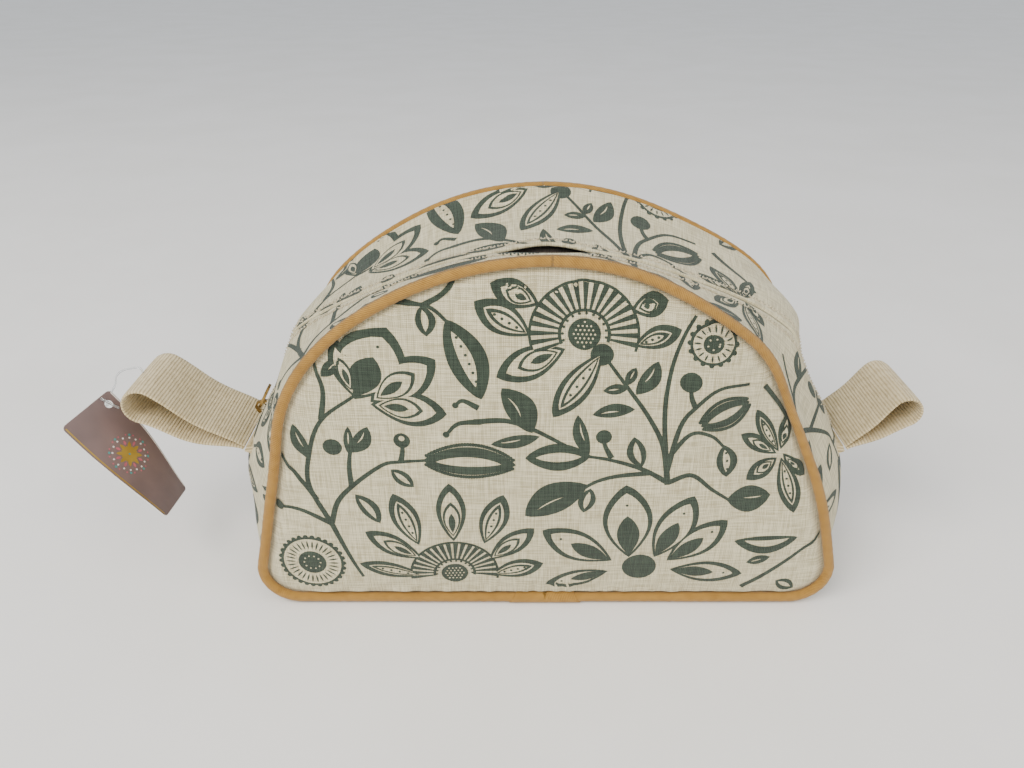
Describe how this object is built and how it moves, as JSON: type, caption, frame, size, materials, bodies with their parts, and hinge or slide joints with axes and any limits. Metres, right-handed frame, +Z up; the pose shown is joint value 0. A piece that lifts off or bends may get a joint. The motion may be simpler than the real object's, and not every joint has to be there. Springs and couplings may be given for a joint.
{
  "type": "wash bag",
  "caption": "Dome-shaped fabric wash bag with a zip along its arched top, piped front and back panels, and a webbing loop at each end of the zip.",
  "frame": {"origin": "middle of the flat base, on the surface that the bag stands on", "axes": "+X towards the bag's right end, +Y from its front panel to its back panel, +Z up"},
  "size_m": [0.382, 0.1136, 0.1672],
  "materials": {
    "printed_linen": "matt printed plain weave",
    "mustard_twill": "matt bias-cut twill",
    "cotton_cord": "matt twisted cord",
    "lining_cloth": "matt plain weave",
    "binding_tape": "matt herringbone tape",
    "zip_tape": "matt woven tape",
    "zip_teeth": "moulded",
    "antique_brass": "aged, lightly polished",
    "cotton_webbing": "ribbed natural webbing",
    "tag_card": "coated card",
    "clear_filament": "clear moulded nylon"
  },
  "bodies": {
    "bag_back": {"base_gusset": "printed_linen", "back_zip_gusset": "printed_linen", "left_zip_end": "printed_linen", "right_zip_end": "printed_linen", "left_zip_end_tape": "zip_tape", "right_zip_end_tape": "zip_tape", "left_loop_tab": "cotton_webbing", "right_loop_tab": "cotton_webbing", "base_lining": "lining_cloth", "front_top_stop": "antique_brass", "back_top_stop": "antique_brass", "zip_bottom_stop": "antique_brass", "back_panel": "printed_linen", "back_lining": "lining_cloth", "back_piping": "mustard_twill", "back_piping_cord": "cotton_cord", "back_piping_joint": "mustard_twill", "back_seam_binding": "binding_tape", "back_zip_tape": "zip_tape", "back_zip_teeth": "zip_teeth"},
    "bag_front": {"front_panel": "printed_linen", "front_lining": "lining_cloth", "front_piping": "mustard_twill", "front_piping_cord": "cotton_cord", "front_piping_joint": "mustard_twill", "front_seam_binding": "binding_tape", "front_zip_tape": "zip_tape", "front_zip_teeth": "zip_teeth", "front_zip_gusset": "printed_linen"},
    "slider": {"zip_slider": "antique_brass", "zip_slider_bridge": "antique_brass", "zip_slider_keeper": "antique_brass"},
    "pull": {"zip_pull": "antique_brass"},
    "left_strap": {"left_loop": "cotton_webbing", "tag_string_bar": "clear_filament"},
    "right_strap": {"right_loop": "cotton_webbing"},
    "string": {"tag_string": "clear_filament"},
    "tag": {"swing_tag": "tag_card", "tag_string_paddle": "clear_filament"}
  },
  "joints": [
    {"name": "mouth_open", "type": "hinge", "parent": "bag_back", "child": "bag_front", "pos_m": [0, -0.05, 0.003], "axis": [1, 0, 0], "range_deg": [0, 25], "stiffness_Nm_per_rad": 0.15},
    {"name": "zip_travel", "type": "hinge", "parent": "bag_back", "child": "slider", "pos_m": [0, 0, 0.003], "axis": [0, 1, 0], "range_deg": [0, 121]},
    {"name": "pull_swing", "type": "hinge", "parent": "slider", "child": "pull", "pos_m": [-0.13288, 0, 0.07515], "axis": [0, -1, 0], "range_deg": [0, 105]},
    {"name": "left_strap_flex", "type": "hinge", "parent": "bag_back", "child": "left_strap", "pos_m": [-0.13822, 0, 0.06454], "axis": [0, 1, 0], "range_deg": [-10, 22], "stiffness_Nm_per_rad": 0.05},
    {"name": "right_strap_flex", "type": "hinge", "parent": "bag_back", "child": "right_strap", "pos_m": [0.13822, 0, 0.06454], "axis": [0, -1, 0], "range_deg": [-45, 20], "stiffness_Nm_per_rad": 0.05},
    {"name": "tag_hang", "type": "hinge", "parent": "left_strap", "child": "string", "pos_m": [-0.18424, 0, 0.09266], "axis": [0, 1, 0], "range_deg": [-22, 10]},
    {"name": "tag_swing", "type": "hinge", "parent": "string", "child": "tag", "pos_m": [-0.2011, -0.005, 0.0787], "axis": [1, 0, 0], "range_deg": [-35, 35]}
  ],
  "couplings": [
    {"joint": "tag_hang", "follows": "left_strap_flex", "ratio": -1}
  ]
}
